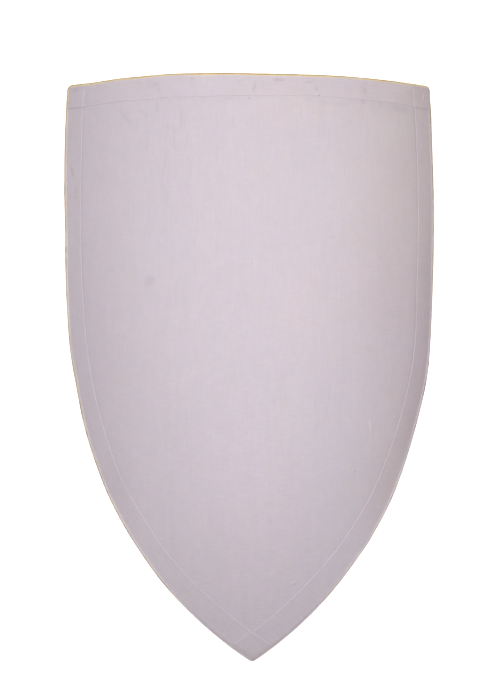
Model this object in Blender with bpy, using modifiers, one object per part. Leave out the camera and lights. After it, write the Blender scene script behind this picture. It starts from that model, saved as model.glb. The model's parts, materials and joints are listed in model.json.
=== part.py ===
"""Heater shield of curved plywood, faced with canvas and bound round its edge with three strips.

It lies face up on its two side rims. Everything is laid out flat first: s runs across the shield, t runs
up it from its widest line, and n is the height over the middle of the board. Rolling wraps that flat
pattern on a cylinder whose axis runs along the shield, and the rolled shield is then pitched to the angle
at which it comes to rest.
"""

import math
from collections import namedtuple

import bmesh
import bpy
import numpy as np
from mathutils import Matrix, Vector

# The flat outline, in metres: half of it, because the two sides are alike.
HALF_WIDTH = 0.300  # at the widest line, round the curve
TOP_RISE = 0.182  # from the widest line up to the top edge
SIDE_RADIUS = 2.4  # the upper part of each side
BELLY_DROP = 0.184  # from the widest line down to where the belly begins
BELLY_RADIUS = 0.65  # from there to the tip
TIP_RADIUS = 0.008
CORNER_RADIUS = 0.009

# The roll, and the layers from back to front.
ROLL_RADIUS = 0.5  # of the middle of the board
BOARD_THICKNESS = 0.008
FACING_THICKNESS = 0.0008
STRIP_THICKNESS = 0.001
GAP = 0.0003  # between neighbouring layers

# The edge strips, whose section is a long front leg, a round fold and a shorter back leg.
FRONT_LEG = 0.035  # from the rim, across the front
BACK_LEG = 0.025  # from the rim, across the back
BACK_MITRE = 0.0004  # left open along the joint of two back legs
FOLD_JOINT = math.radians(4)  # left open to each side of the joint of two folds
FOLD_SEGMENTS = 6

# Where one strip laps over another, as distances in from the lower strip's rim.
LAP_START = 0.040  # the upper strip begins to climb
LAP_FULL = 0.036  # it has climbed on to the lower strip
LAP_MIDDLE = (0.025, 0.014)
UNDER_END = 0.0093  # seen from the upper strip's rim, where the lower strip's front leg ends
LAP_SIDE_STEP = 0.0085  # the upper strip has climbed this far in from its own rim

REST_FLAT_DEPTH = 0.0004  # worn off each side rim where it meets the floor

COLUMN = 0.020  # width of the facets across the board and its facing
STATION_STEP = 0.024  # spacing of the sections along a strip

# Levels of the strips' outer surface, and the fold that joins the two legs round the rim.
FRONT_LEVEL = BOARD_THICKNESS / 2 + 2 * GAP + FACING_THICKNESS + STRIP_THICKNESS
BACK_LEVEL = -BOARD_THICKNESS / 2 - GAP - STRIP_THICKNESS
FOLD_RADIUS = (FRONT_LEVEL - BACK_LEVEL) / 2
FOLD_LEVEL = (FRONT_LEVEL + BACK_LEVEL) / 2
LAP_LIFT = STRIP_THICKNESS + GAP
PLATE_INSET = FOLD_RADIUS + 1.5 * GAP  # where the board's faces end and its round edge begins


def direction(angle):
    return Vector((math.cos(angle), math.sin(angle)))


def on_arc(centre, radius, angle):
    return centre + radius * direction(angle)


# The right half of the outline as arcs that run into each other: tip, belly, side and corner.
SIDE_CENTRE = Vector((HALF_WIDTH - SIDE_RADIUS, 0.0))
BELLY_ANGLE = -math.asin(BELLY_DROP / SIDE_RADIUS)
BELLY_CENTRE = on_arc(SIDE_CENTRE, SIDE_RADIUS - BELLY_RADIUS, BELLY_ANGLE)
TIP_DEPTH = math.sqrt((BELLY_RADIUS - TIP_RADIUS) ** 2 - BELLY_CENTRE.x ** 2)
TIP_CENTRE = Vector((0.0, BELLY_CENTRE.y - TIP_DEPTH))
TIP_ANGLE = math.atan2(-TIP_DEPTH, -BELLY_CENTRE.x)
CORNER_LEVEL = TOP_RISE - CORNER_RADIUS
CORNER_ANGLE = math.asin(CORNER_LEVEL / (SIDE_RADIUS - CORNER_RADIUS))
CORNER_CENTRE = on_arc(SIDE_CENTRE, SIDE_RADIUS - CORNER_RADIUS, CORNER_ANGLE)
CORNER_MITRE = (CORNER_ANGLE + math.pi / 2) / 2

# One section of a strip: the foot of the rim and its inward direction, the ends of the two legs, and how
# far the front leg is lifted. A section with no front end has no front leg.
Station = namedtuple("Station", "foot inward front_end back_end lift")


def clear_scene():
    for obj in list(bpy.data.objects):
        bpy.data.objects.remove(obj, do_unlink=True)


def new_collection(name):
    collection = bpy.data.collections.new(name)
    bpy.context.scene.collection.children.link(collection)
    return collection


def new_material(name, colour, roughness):
    material = bpy.data.materials.new(name)
    material.use_nodes = True
    shader = material.node_tree.nodes["Principled BSDF"]
    shader.inputs["Base Color"].default_value = (*colour, 1.0)
    shader.inputs["Roughness"].default_value = roughness
    shader.inputs["Metallic"].default_value = 0.0
    material.diffuse_color = (*colour, 1.0)
    return material


def add_object(name, mesh, collection, material, pose):
    obj = bpy.data.objects.new(name, mesh)
    collection.objects.link(obj)
    mesh.materials.append(material)
    mesh.shade_smooth()
    mesh.set_sharp_from_angle(angle=math.radians(35))
    obj.parent = pose
    return obj


def rolled(points):
    """Flat points (s, t, n) wrapped on the cylinder: x is across, y along, and z up from the crown."""
    s, t, n = np.asarray(points, float).T
    turn = s / ROLL_RADIUS
    reach = ROLL_RADIUS + n
    return np.stack([reach * np.sin(turn), t, reach * np.cos(turn) - ROLL_RADIUS], axis=1)


def arc_points(centre, radius, first, last, step):
    """Points along an arc, spaced by about step, without its first one."""
    pieces = max(1, round(radius * abs(last - first) / step))
    return [on_arc(centre, radius, angle) for angle in np.linspace(first, last, pieces + 1)[1:]]


def outline(inset):
    """The closed flat outline, drawn in from the rim by inset."""
    tip, corner = TIP_RADIUS - inset, CORNER_RADIUS - inset
    right = arc_points(TIP_CENTRE, tip, -math.pi / 2, TIP_ANGLE, tip / 3)
    right += arc_points(BELLY_CENTRE, BELLY_RADIUS - inset, TIP_ANGLE, BELLY_ANGLE, COLUMN)
    right += arc_points(SIDE_CENTRE, SIDE_RADIUS - inset, BELLY_ANGLE, CORNER_ANGLE, 2 * COLUMN)
    right += arc_points(CORNER_CENTRE, corner, CORNER_ANGLE, math.pi / 2, corner / 3)
    left = [Vector((-point.x, point.y)) for point in reversed(right)]
    return [on_arc(TIP_CENTRE, tip, -math.pi / 2)] + right + left


def flat_plate(name, half_thickness, edge_radius):
    """A filled 2D curve with thickness, as a mesh. With an edge radius its edge is round."""
    curve = bpy.data.curves.new(name + "_outline", "CURVE")
    curve.dimensions = "2D"
    curve.fill_mode = "BOTH"
    curve.extrude = half_thickness - edge_radius
    curve.bevel_depth = edge_radius
    curve.bevel_resolution = 2
    points = outline(PLATE_INSET)
    spline = curve.splines.new("POLY")
    spline.points.add(len(points) - 1)
    for target, point in zip(spline.points, points):
        target.co = (point.x, point.y, 0.0, 1.0)
    spline.use_cyclic_u = True
    guide = bpy.data.objects.new(name + "_outline", curve)
    bpy.context.scene.collection.objects.link(guide)
    graph = bpy.context.evaluated_depsgraph_get()
    mesh = bpy.data.meshes.new_from_object(guide.evaluated_get(graph))
    bpy.data.objects.remove(guide)
    return mesh


def rolled_plate(name, half_thickness, edge_radius, level):
    """A flat plate whose faces are cut into columns, so that rolling bends them."""
    flat = flat_plate(name, half_thickness, edge_radius)
    bm = bmesh.new()
    bm.from_mesh(flat)
    bpy.data.meshes.remove(flat)
    bmesh.ops.remove_doubles(bm, verts=bm.verts, dist=1e-6)
    bmesh.ops.dissolve_limit(bm, angle_limit=math.radians(0.2), verts=bm.verts, edges=bm.edges)
    columns = math.ceil(HALF_WIDTH / COLUMN)
    for i in range(-columns, columns):
        everything = bm.verts[:] + bm.edges[:] + bm.faces[:]
        where = ((i + 0.5) * COLUMN, 0, 0)
        bmesh.ops.bisect_plane(bm, geom=everything, plane_co=where, plane_no=(1, 0, 0))
    places = rolled([(vertex.co.x, vertex.co.y, vertex.co.z + level) for vertex in bm.verts])
    for vertex, place in zip(bm.verts, places):
        vertex.co = place
    bmesh.ops.recalc_face_normals(bm, faces=bm.faces)
    mesh = bpy.data.meshes.new(name)
    bm.to_mesh(mesh)
    bm.free()
    return mesh


def tip_point(own, other):
    """The point this far in from its own belly arc, on the right, and this far from the other one."""
    near, far = BELLY_RADIUS - own, BELLY_RADIUS - other
    s = (far ** 2 - near ** 2) / (4 * BELLY_CENTRE.x)
    return Vector((s, BELLY_CENTRE.y - math.sqrt(near ** 2 - (s - BELLY_CENTRE.x) ** 2)))


def corner_point(from_side, from_top):
    """The point this far in from the right-hand side and this far down from the top edge."""
    t = TOP_RISE - from_top
    return Vector((SIDE_CENTRE.x + math.sqrt((SIDE_RADIUS - from_side) ** 2 - t ** 2), t))


def square_station(foot, inward):
    """A section away from the strip's ends, with both legs square to the rim."""
    return Station(foot, inward, foot + FRONT_LEG * inward, foot + BACK_LEG * inward, 0.0)


def square_run(centre, radius, first, last):
    """Square sections along an arc, without the two at its ends, which belong to its neighbours."""
    pieces = round(radius * abs(last - first) / STATION_STEP)
    angles = np.linspace(first, last, pieces + 1)[1:-1]
    return [square_station(on_arc(centre, radius, a), -direction(a)) for a in angles]


def arc_foot(centre, radius):
    """A function that gives the foot on an arc of the outline, and the inward direction, for a point."""

    def foot_of(point):
        inward = (centre - point).normalized()
        return centre - radius * inward, inward

    return foot_of


def top_foot(point):
    return Vector((point.x, TOP_RISE)), Vector((0.0, -1.0))


def end_stations(crossing, foot_of, fillet_centre, fillet_radius, fillet_angles, over):
    """The last sections of a strip, from its plain run to the joint with its neighbour.

    crossing(own, other) gives the point at those distances from the two rims, and foot_of(point) the foot
    of its rim and the inward direction. An upper strip climbs on to the lower one and runs to the
    neighbour's fold. A lower strip's front leg stops short of that. Both folds meet in the middle of the
    fillet, and the back legs meet in a mitre.
    """
    found = []
    for other in (LAP_START, LAP_FULL, *LAP_MIDDLE, UNDER_END):
        foot, inward = foot_of(crossing(FOLD_RADIUS, other))
        lift = LAP_LIFT if over and other <= LAP_FULL else 0.0
        back_end = crossing(min(BACK_LEG, other - BACK_MITRE), other)
        found.append(Station(foot, inward, crossing(FRONT_LEG, other), back_end, lift))
    ends = np.linspace(UNDER_END, FOLD_RADIUS + 2 * GAP, 4)[1:]
    for angle, other in zip(np.linspace(*fillet_angles, 3), ends):
        foot = on_arc(fillet_centre, fillet_radius, angle)
        front_end = crossing(FRONT_LEG, other) if over else None
        back_end = on_arc(fillet_centre, fillet_radius - FOLD_RADIUS - 4 * GAP, angle)
        found.append(Station(foot, -direction(angle), front_end, back_end, LAP_LIFT))
    return found


def side_stations(over_at_tip):
    """The right-hand strip's sections, from the tip up to the top strip, under which it ends."""
    tip_foot = arc_foot(BELLY_CENTRE, BELLY_RADIUS)
    tip_angles = (TIP_ANGLE, -math.pi / 2 + FOLD_JOINT)
    tip = end_stations(tip_point, tip_foot, TIP_CENTRE, TIP_RADIUS, tip_angles, over_at_tip)
    side_foot = arc_foot(SIDE_CENTRE, SIDE_RADIUS)
    corner_angles = (CORNER_ANGLE, CORNER_MITRE - FOLD_JOINT)
    corner = end_stations(corner_point, side_foot, CORNER_CENTRE, CORNER_RADIUS, corner_angles, False)
    tip_run = tip[0].foot - BELLY_CENTRE
    corner_run = corner[0].foot - SIDE_CENTRE
    belly = square_run(BELLY_CENTRE, BELLY_RADIUS, math.atan2(tip_run.y, tip_run.x), BELLY_ANGLE)
    side = square_run(SIDE_CENTRE, SIDE_RADIUS, BELLY_ANGLE, math.atan2(corner_run.y, corner_run.x))
    junction = square_station(on_arc(BELLY_CENTRE, BELLY_RADIUS, BELLY_ANGLE), -direction(BELLY_ANGLE))
    return tip[::-1] + belly + [junction] + side + corner


def top_stations():
    """The top strip's sections, from left to right. It lies over both side strips."""

    def crossing(own, other):
        return corner_point(other, own)

    angles = (math.pi / 2, CORNER_MITRE + FOLD_JOINT)
    right = end_stations(crossing, top_foot, CORNER_CENTRE, CORNER_RADIUS, angles, True)
    reach = right[0].foot.x
    pieces = round(2 * reach / STATION_STEP)
    inner = np.linspace(-reach, reach, pieces + 1)[1:-1]
    middle = [square_station(*top_foot(Vector((s, TOP_RISE)))) for s in inner]
    return [mirrored(station) for station in reversed(right)] + middle + right


def mirrored(station):
    """The same section on the other side of the shield."""
    points = [point and Vector((-point.x, point.y)) for point in station[:4]]
    return Station(*points, station.lift)


def section_points(station):
    """A section's points, from the end of its front leg, round the fold, to the end of its back leg."""
    start = station.foot + FOLD_RADIUS * station.inward
    front_end = station.front_end or station.foot + FRONT_LEG * station.inward
    step_share = (LAP_SIDE_STEP - FOLD_RADIUS) / (FRONT_LEG - FOLD_RADIUS)
    front = [(*start.lerp(front_end, share), FRONT_LEVEL + station.lift) for share in (1, 0.5, step_share)]
    fold = []
    for turn in np.linspace(math.pi / 2, -math.pi / 2, FOLD_SEGMENTS + 1):
        point = start - FOLD_RADIUS * math.cos(turn) * station.inward
        fold.append((*point, FOLD_LEVEL + FOLD_RADIUS * math.sin(turn)))
    back = [(*start.lerp(station.back_end, share), BACK_LEVEL) for share in (0.5, 1)]
    return front + fold + back, len(front)


def strip_mesh(name, stations):
    """The outer surface of a strip, rolled: a loft of its sections, some without a front leg."""
    points = []
    for station in stations:
        section, front_count = section_points(station)
        points += section
    across = len(section)
    bm = bmesh.new()
    grid = [bm.verts.new(place) for place in rolled(points)]
    for i in range(len(stations) - 1):
        whole = stations[i].front_end and stations[i + 1].front_end
        for j in range(0 if whole else front_count, across - 1):
            corner = i * across + j
            bm.faces.new([grid[corner + k] for k in (0, 1, across + 1, across)])
    unused = [vertex for vertex in bm.verts if not vertex.link_faces]
    bmesh.ops.delete(bm, geom=unused, context="VERTS")
    bmesh.ops.recalc_face_normals(bm, faces=bm.faces)
    highest = max(bm.faces, key=lambda face: face.calc_center_median().z)
    if highest.normal.z < 0:
        bmesh.ops.reverse_faces(bm, faces=bm.faces)
    mesh = bpy.data.meshes.new(name)
    bm.to_mesh(mesh)
    bm.free()
    return mesh


def thicken(obj, thickness):
    """A wall behind the surface that is drawn, towards the board."""
    wall = obj.modifiers.new("wall", "SOLIDIFY")
    wall.thickness = thickness
    wall.offset = -1.0
    wall.use_even_offset = True


def rest_pitch():
    """The pitch at which the centre of mass stands over the point where the side rims touch the floor.

    The side rims are rockers, because the shield is widest near its top. At each pitch the lowest point
    of the rim is found, and halving steps find the pitch that brings the centre of mass above it.
    """
    right = [point for point in outline(0.0) if point.x >= 0]
    t = np.linspace(right[0].y, TOP_RISE, 4001)[1:-1]
    half = np.interp(t, [point.y for point in right], [point.x for point in right])
    rim_z = ROLL_RADIUS * (np.cos(half / ROLL_RADIUS) - 1)
    mean_z = ROLL_RADIUS * (np.sin(half / ROLL_RADIUS) * ROLL_RADIUS / half - 1)
    centre_t = np.average(t, weights=half)
    centre_z = np.average(mean_z, weights=half)
    low, high = 0.0, math.radians(15)
    for _ in range(40):
        pitch = (low + high) / 2
        sine, cosine = math.sin(pitch), math.cos(pitch)
        touch = np.argmin(t * sine + rim_z * cosine)
        ahead = (centre_t - t[touch]) * cosine - (centre_z - rim_z[touch]) * sine
        if ahead < 0:
            low = pitch
        else:
            high = pitch
    return pitch


def world_points(objects):
    """All points of the finished objects, in world space."""
    graph = bpy.context.evaluated_depsgraph_get()
    found = []
    for obj in objects:
        evaluated = obj.evaluated_get(graph)
        mesh = evaluated.to_mesh()
        points = np.empty(len(mesh.vertices) * 3)
        mesh.vertices.foreach_get("co", points)
        matrix = np.array(evaluated.matrix_world)
        found.append(points.reshape(-1, 3) @ matrix[:3, :3].T + matrix[:3, 3])
        evaluated.to_mesh_clear()
    return np.concatenate(found)


def settle(pose, objects):
    """Pitches the shield, centres its box over the origin and sets its rims just below the floor."""
    pose.rotation_euler.x = rest_pitch()
    bpy.context.view_layer.update()
    points = world_points(objects)
    low, high = points.min(axis=0), points.max(axis=0)
    pose.location = (0.0, -(low[1] + high[1]) / 2, -low[2] - REST_FLAT_DEPTH)
    bpy.context.view_layer.update()


def wear_flats(rims, cutters):
    """Takes off what the side rims have below the floor, which leaves each a small flat to rest on."""
    mesh = bpy.data.meshes.new("floor_cutter")
    bm = bmesh.new()
    bmesh.ops.create_cube(bm, size=1.0, matrix=Matrix.Translation((0, 0, -0.5)))
    bm.to_mesh(mesh)
    bm.free()
    cutter = bpy.data.objects.new("floor_cutter", mesh)
    cutters.objects.link(cutter)
    cutter.display_type = "WIRE"
    cutter.hide_render = True
    for rim in rims:
        cut = rim.modifiers.new("rest_flat", "BOOLEAN")
        cut.operation = "DIFFERENCE"
        cut.solver = "EXACT"
        cut.object = cutter


def make_board(parts, pose):
    wood = new_material("plywood", (0.52, 0.36, 0.21), 0.7)
    half = BOARD_THICKNESS / 2
    return add_object("board", rolled_plate("board", half, half, 0.0), parts, wood, pose)


def make_facing(parts, pose):
    canvas = new_material("primed_canvas", (0.58, 0.50, 0.56), 0.85)
    half = FACING_THICKNESS / 2
    level = BOARD_THICKNESS / 2 + GAP + half
    mesh = rolled_plate("canvas_facing", half, 0.0, level)
    return add_object("canvas_facing", mesh, parts, canvas, pose)


def make_strip(name, stations, parts, pose):
    linen = new_material(name + "_linen", (0.60, 0.52, 0.55), 0.8)
    strip = add_object(name, strip_mesh(name, stations), parts, linen, pose)
    thicken(strip, STRIP_THICKNESS)
    return strip


def main():
    clear_scene()
    parts = new_collection("heater_shield")
    cutters = new_collection("cutters")
    pose = bpy.data.objects.new("resting_pose", None)
    parts.objects.link(pose)

    board = make_board(parts, pose)
    facing = make_facing(parts, pose)
    top = make_strip("top_binding", top_stations(), parts, pose)
    left_stations = [mirrored(station) for station in side_stations(over_at_tip=True)]
    left = make_strip("left_binding", left_stations, parts, pose)
    right = make_strip("right_binding", side_stations(over_at_tip=False), parts, pose)

    settle(pose, [board, facing, top, left, right])
    wear_flats([left, right], cutters)


main()
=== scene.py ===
"""Heater shield: painted canvas on a curved plywood board, bound round its edge with three cloth strips.

Each surface is worked out on the flat pattern first. There s runs across the shield from its middle, t
runs up it from its widest line, and n is the height over the middle of the board. Rolling wraps the flat
pattern on a cylinder, and the rolled shield is then pitched to the angle at which it lies at rest.
"""

import json
import math
from collections import namedtuple

import bpy
import numpy as np
from bpy.props import FloatProperty, FloatVectorProperty, PointerProperty
from mathutils import Euler, Matrix, Vector

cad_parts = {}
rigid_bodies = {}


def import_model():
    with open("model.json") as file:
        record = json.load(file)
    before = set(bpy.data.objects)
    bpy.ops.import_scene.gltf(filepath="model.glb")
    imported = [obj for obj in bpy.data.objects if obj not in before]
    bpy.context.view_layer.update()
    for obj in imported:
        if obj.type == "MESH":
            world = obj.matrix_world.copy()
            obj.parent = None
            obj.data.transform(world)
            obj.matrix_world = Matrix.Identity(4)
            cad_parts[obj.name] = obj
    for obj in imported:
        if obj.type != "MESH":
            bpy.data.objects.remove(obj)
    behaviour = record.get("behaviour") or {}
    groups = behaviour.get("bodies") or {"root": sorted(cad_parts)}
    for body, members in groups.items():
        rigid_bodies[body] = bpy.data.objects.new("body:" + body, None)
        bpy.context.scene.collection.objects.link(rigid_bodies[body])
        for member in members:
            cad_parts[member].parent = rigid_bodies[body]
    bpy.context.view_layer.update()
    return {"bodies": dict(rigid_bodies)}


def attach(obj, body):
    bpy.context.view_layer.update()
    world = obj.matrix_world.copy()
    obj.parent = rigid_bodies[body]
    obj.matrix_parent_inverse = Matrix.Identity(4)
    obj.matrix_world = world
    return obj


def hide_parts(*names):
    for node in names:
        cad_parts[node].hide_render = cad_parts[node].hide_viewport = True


bl_info = {
    "name": "Heater shield",
    "version": (1, 0, 0),
    "blender": (4, 5, 0),
    "location": "3D View > Sidebar > Shield",
    "description": "Makes a canvas-faced plywood shield over its packed solids, and a stage for it",
    "category": "Add Mesh",
}

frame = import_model()
MM = 0.001
QUARTER = math.pi / 2


# ---- Settings ----


def number(name, description, default, **more):
    return FloatProperty(name=name, description=description, default=default, **more)


def length(name, description, default):
    """A size in metres."""
    return number(name, description, default, min=0.0, unit="LENGTH", precision=5)


def colour(name, description, default):
    """A colour, as linear red, green and blue."""
    return FloatVectorProperty(
        name=name, description=description, default=default, size=3, min=0.0, max=1.0, subtype="COLOR"
    )


class ShieldPattern(bpy.types.PropertyGroup):
    """The flat outline, the roll and the layers."""

    half_width: length("Half width", "From the middle to the side at the widest line, round the curve", 0.300)
    top_rise: length("Top rise", "From the widest line up to the top edge", 0.182)
    side_radius: length("Side radius", "Radius of the upper part of each side", 2.4)
    belly_drop: length("Belly drop", "From the widest line down to where the belly begins", 0.184)
    belly_radius: length("Belly radius", "Radius of each side from there to the tip", 0.65)
    tip_radius: length("Tip radius", "Radius of the rounded tip", 0.008)
    corner_radius: length("Corner radius", "Radius of the two upper corners", 0.009)
    roll_radius: length("Roll radius", "Radius to which the middle of the board is curved", 0.5)
    pitch: number("Pitch", "Angle at which the shield lies, top raised", math.radians(2.18), unit="ROTATION")
    rest_flat: length("Rest flat", "Worn off each side rim where it meets the floor", 0.4 * MM)
    board: length("Board", "Thickness of the plywood", 8 * MM)
    canvas: length("Canvas", "Height of the painted canvas over the board", 1.5 * MM)
    strip: length("Strip", "Thickness of an edge strip with its paint", 0.7 * MM)
    front_leg: length("Front leg", "Width of a strip on the front, from the rim", 0.035)
    back_leg: length("Back leg", "Width of a strip on the back, from the rim", 0.025)
    fold_radius: length("Fold radius", "Radius of the fold round the rim, outside", 5.85 * MM)
    fold_level: length("Fold level", "Height of the fold's middle over the board's middle", 0.55 * MM)


class ShieldFinish(bpy.types.PropertyGroup):
    """Colours and the scale of the weave."""

    paint: colour("Paint", "Primer over the canvas and the strips", (0.560, 0.492, 0.537))
    # Also the colour of the painted shade in the steps under and across the strips' edges.
    smudge_and_shade: colour("Smudge", "Grey handling marks in the paint", (0.340, 0.298, 0.330))
    stain: colour("Stain", "Brown stains in the paint", (0.300, 0.220, 0.200))
    cloth: colour("Bare cloth", "Unpainted strip beside the paint", (0.820, 0.680, 0.420))
    cloth_gold: colour("Golden cloth", "Unpainted strip on the turn of the rim", (0.660, 0.430, 0.190))
    # Also stands for painted shade where the fold turns away from the light.
    cloth_soil_and_shade: colour("Soiled cloth", "Dirty patches round the outside of the rim", (0.300, 0.210, 0.130))
    cloth_faded: colour("Faded cloth", "Unpainted strip down the sides, faded", (0.840, 0.750, 0.680))
    wood: colour("Wood", "Face veneer on the back", (0.560, 0.395, 0.235))
    wood_dark: colour("Dark grain", "Late growth and pores in the veneer", (0.330, 0.195, 0.095))
    thread: length("Thread", "Spacing of the threads in the canvas", 0.85 * MM)
    strip_thread: length("Strip thread", "Spacing of the threads in the strips", 0.7 * MM)


class StudioSetup(bpy.types.PropertyGroup):
    """The camera, the lights and the floor."""

    distance: length("Camera distance", "From the camera to the front of the shield", 1.75)
    across: number("Camera across", "Place of the camera to the right of the middle", -0.0401, unit="LENGTH")
    along: number("Camera along", "Place of the camera up from the widest line", -0.2541, unit="LENGTH")
    turn: FloatVectorProperty(
        name="Camera turn",
        description="Turn of the camera from looking straight down on the shield's face",
        default=(0.0168, -0.0217, -0.0024),
        size=3,
        subtype="EULER",
    )
    lens: number("Lens", "Focal length in millimetres", 41.22, min=1.0)
    sensor: number("Sensor", "Long side of the sensor in millimetres", 24.0)
    key: number("Key light", "Power of the soft box", 11.3, unit="POWER")
    sky: number("Sky", "Strength of the even light all round", 0.15, min=0.0)
    floor: colour("Floor", "Colour of the floor", (0.93, 0.93, 0.93))
    glow: number("Floor glow", "Light given off by the lit floor", 0.75, min=0.0)


# ---- Numbers on arrays ----


def stacked(*parts):
    """Points from their coordinates, each a number or an array."""
    return np.stack(np.broadcast_arrays(*parts), axis=-1)


def unit(angle):
    """Unit vectors at these angles."""
    return stacked(np.cos(angle), np.sin(angle))


def angle_of(vector):
    return math.atan2(vector[1], vector[0])


def size_of(vectors):
    """Length of each vector, with its axis kept."""
    return np.linalg.norm(vectors, axis=-1, keepdims=True)


def smooth(low, high, x):
    """0 at low, 1 at high, and between them 3u^2 - 2u^3 of the share u. High may be under low."""
    u = np.clip((x - low) / (high - low), 0.0, 1.0)
    return u * u * (3.0 - 2.0 * u)


def bell(x, centre, spread):
    """exp(-((x - centre) / spread)^2), which is 1 at the centre."""
    return np.exp(-(((x - centre) / spread) ** 2))


def lerp(a, b, share):
    """a where the share is 0, b where it is 1. The share has one axis less than the points."""
    return a + (b - a) * np.asarray(share)[..., None]


def travelled(points):
    """Distance along the points from the first to each."""
    steps = np.linalg.norm(np.diff(points, axis=0), axis=-1)
    return np.cumsum(np.concatenate([[0.0], steps]))


def lattice(i, j, seed):
    """An even spread of numbers from -1 to 1, one for each whole i and j: the broken part of a large sine."""
    wave = np.sin(i * 127.1 + j * 311.7 + seed * 74.7) * 43758.5453
    return 2.0 * (wave - np.floor(wave)) - 1.0


def rough(x, y, seed):
    """Smooth noise from -1 to 1 with features 1 apart: the lattice's numbers, blended between its points."""
    i, j = np.floor(x), np.floor(y)
    u, v = smooth(0.0, 1.0, x - i), smooth(0.0, 1.0, y - j)
    low = lattice(i, j, seed) * (1 - u) + lattice(i + 1, j, seed) * u
    high = lattice(i, j + 1, seed) * (1 - u) + lattice(i + 1, j + 1, seed) * u
    return low * (1 - v) + high * v


def crowded(low, high, count, centre, width, more):
    """Numbers from low to high whose spacing narrows near the centre.

    The density is 1 + more * bell(x), and the numbers are at equal steps of its sum.
    """
    x = np.linspace(low, high, 4001)
    density = 1.0 + more * bell(x, centre, width)
    total = np.concatenate([[0.0], np.cumsum((density[1:] + density[:-1]) / 2)])
    return np.interp(np.linspace(0.0, total[-1], count), total, x)


def with_level(flat, level):
    """Points (s, t) with the level n added, a number or an array."""
    return np.concatenate([flat, np.broadcast_to(level, flat.shape[:-1])[..., None]], axis=-1)


# ---- The flat pattern ----


class Pattern:
    """The outline's arcs, with their centres and angles, and the way from flat to lying at rest."""

    def __init__(self, size):
        self.size = size
        self.front = size.board / 2 + size.canvas  # top of the painted canvas
        self.junction = -size.belly_drop
        self.side_centre = np.array([size.half_width - size.side_radius, 0.0])
        self.belly_angle = -math.asin(size.belly_drop / size.side_radius)
        reach = size.side_radius - size.belly_radius
        self.belly_centre = self.side_centre + reach * unit(self.belly_angle)
        drop = math.sqrt((size.belly_radius - size.tip_radius) ** 2 - self.belly_centre[0] ** 2)
        self.tip_centre = np.array([0.0, self.belly_centre[1] - drop])
        self.tip_angle = math.atan2(-drop, -self.belly_centre[0])
        inner = size.side_radius - size.corner_radius
        self.corner_angle = math.asin((size.top_rise - size.corner_radius) / inner)
        self.corner_centre = self.side_centre + inner * unit(self.corner_angle)
        self.corner_mitre = (self.corner_angle + QUARTER) / 2
        self.shift = np.zeros(3)
        self.settle()

    def placed(self, flat):
        """Rolled, turned about the x axis by the pitch, and shifted to lie on the floor.

        Rolled is x = (R + n) sin(s / R), y = t, z = (R + n) cos(s / R) - R, with R the roll's radius.
        """
        radius, pitch = self.size.roll_radius, self.size.pitch
        s, y, n = np.moveaxis(flat, -1, 0)
        x, z = (radius + n) * np.sin(s / radius), (radius + n) * np.cos(s / radius) - radius
        run, climb = math.cos(pitch), math.sin(pitch)
        return stacked(x, run * y - climb * z, climb * y + run * z) + self.shift

    def settle(self):
        """Centres the rim over the origin, with its lowest point just below the floor, as the solids are."""
        size = self.size
        arcs = (
            (self.tip_centre, size.tip_radius, -QUARTER, self.tip_angle, 12),
            (self.belly_centre, size.belly_radius, self.tip_angle, self.belly_angle, 300),
            (self.side_centre, size.side_radius, self.belly_angle, self.corner_angle, 300),
            (self.corner_centre, size.corner_radius, self.corner_angle, QUARTER, 12),
        )
        right = np.concatenate([centre + radius * unit(np.linspace(*ends)) for centre, radius, *ends in arcs])
        tangent = np.gradient(right, axis=0)
        inward = stacked(-tangent[:, 1], tangent[:, 0])
        inward /= size_of(inward)
        around = np.linspace(-QUARTER, QUARTER, 61)
        reach = size.fold_radius * (1 - np.cos(around))
        flat = right[:, None] + reach[None, :, None] * inward[:, None]
        rim = self.placed(with_level(flat, size.fold_level + size.fold_radius * np.sin(around)))
        low, high = rim.min(axis=(0, 1)), rim.max(axis=(0, 1))
        self.shift = np.array([0.0, -(low[1] + high[1]) / 2, -low[2] - size.rest_flat])

    def inset_belly(self, points):
        """Distance in from the right-hand belly arc: its radius less the distance from its centre."""
        return self.size.belly_radius - np.linalg.norm(points - self.belly_centre, axis=-1)

    def inset_side(self, points):
        """Distance in from the nearer side, found in the same way from the side's arc or the belly's."""
        folded = stacked(np.abs(points[..., 0]), points[..., 1])
        side = self.size.side_radius - np.linalg.norm(folded - self.side_centre, axis=-1)
        return np.where(points[..., 1] > self.junction, side, self.inset_belly(folded))

    def half_width(self, t, inset):
        """Half the width at height t of the outline drawn in by the inset."""
        side = self.side_centre[0] + np.sqrt((self.size.side_radius - inset) ** 2 - t ** 2)
        drop = np.minimum(np.abs(t - self.belly_centre[1]), self.size.belly_radius - inset)
        belly = self.belly_centre[0] + np.sqrt((self.size.belly_radius - inset) ** 2 - drop ** 2)
        return np.where(t > self.junction, side, belly)

    def tip_crossing(self, own, other):
        """The point this far in from the right-hand belly arc and this far in from the left-hand one."""
        near, far = self.size.belly_radius - own, self.size.belly_radius - other
        s = (far ** 2 - near ** 2) / (4 * self.belly_centre[0])
        return stacked(s, self.belly_centre[1] - np.sqrt(near ** 2 - (s - self.belly_centre[0]) ** 2))

    def corner_crossing(self, from_side, from_top):
        """The point this far in from the right-hand side and this far down from the top edge."""
        t = self.size.top_rise - from_top
        return stacked(self.side_centre[0] + np.sqrt((self.size.side_radius - from_side) ** 2 - t ** 2), t)


# ---- The edge strips' paths ----

# A strip's sections in order along it: the foot of each on the rim, the inward direction, and the ends of
# the two legs.
Run = namedtuple("Run", "foot inward front back")

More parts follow.
